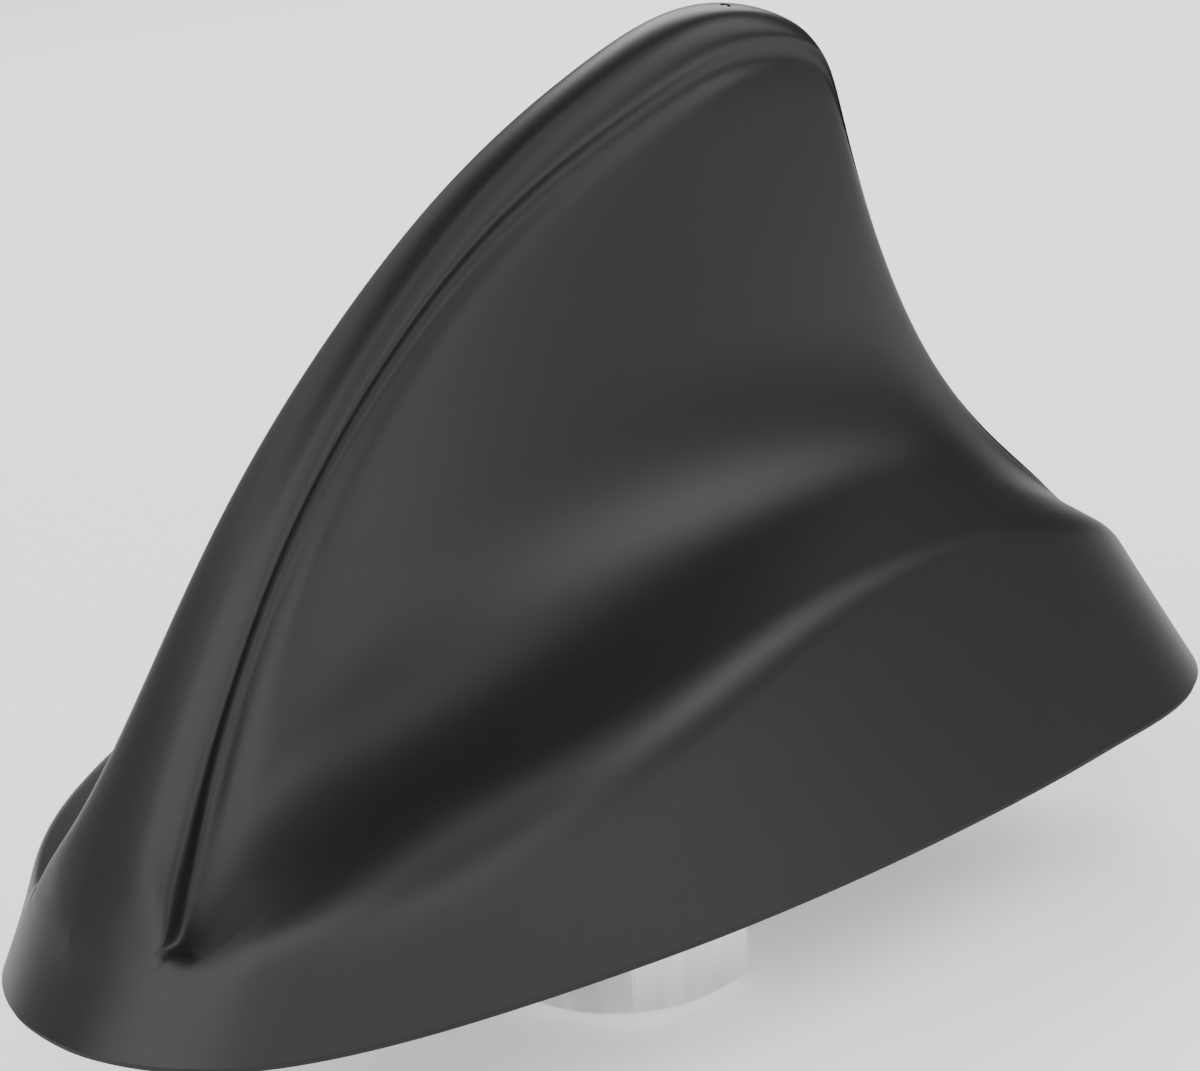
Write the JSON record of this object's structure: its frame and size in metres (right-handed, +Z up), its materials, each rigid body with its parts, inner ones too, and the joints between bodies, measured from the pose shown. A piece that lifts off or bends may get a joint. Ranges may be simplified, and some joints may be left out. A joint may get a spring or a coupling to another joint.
{
  "type": "shark fin roof aerial",
  "caption": "Shark fin roof aerial: a moulded cover with recessed flanks over a cast base, with a gasket, circuit boards, a hollow stud and a thin hexagon nut.",
  "frame": {"origin": "on the stud's axis, at the roof face of the gasket", "axes": "+Z up from the roof along the stud's axis, +X to the tail, +Y across"},
  "size_m": [0.1436, 0.0612, 0.0972],
  "materials": {
    "cover_plastic": "satin, finely textured",
    "seal_rubber": "matt",
    "gasket_rubber": "matt",
    "cast_alloy": "as cast",
    "plated_steel": "zinc plated",
    "nut_steel": "zinc plated",
    "screw_steel": "zinc plated",
    "board": "lacquered",
    "tin_plate": "tin plated",
    "black_plastic": "matt",
    "foam": "matt",
    "ceramic": "fired, matt",
    "silver": "fired silver",
    "gilt_brass": "gilt",
    "copper": "lacquered",
    "white_plastic": "matt"
  },
  "bodies": {
    "root": {"cover": "cover_plastic", "cover_seal": "seal_rubber", "roof_gasket": "gasket_rubber", "base_plate": "cast_alloy", "mounting_stud": "plated_steel", "mounting_nut": "nut_steel", "cable_grommet": "seal_rubber", "circuit_board": "board", "board_screws": "screw_steel", "cover_screws": "screw_steel", "amplifier_shield": "tin_plate", "amplifier_chip": "black_plastic", "gps_pad": "foam", "gps_patch": "ceramic", "gps_electrode": "silver", "gps_feed_pin": "gilt_brass", "radio_board": "board", "radio_trace": "copper", "blade_carrier": "white_plastic", "contact_clips": "gilt_brass", "coax_sockets": "gilt_brass", "phone_element": "tin_plate", "small_parts": "black_plastic"}
  },
  "joints": []
}
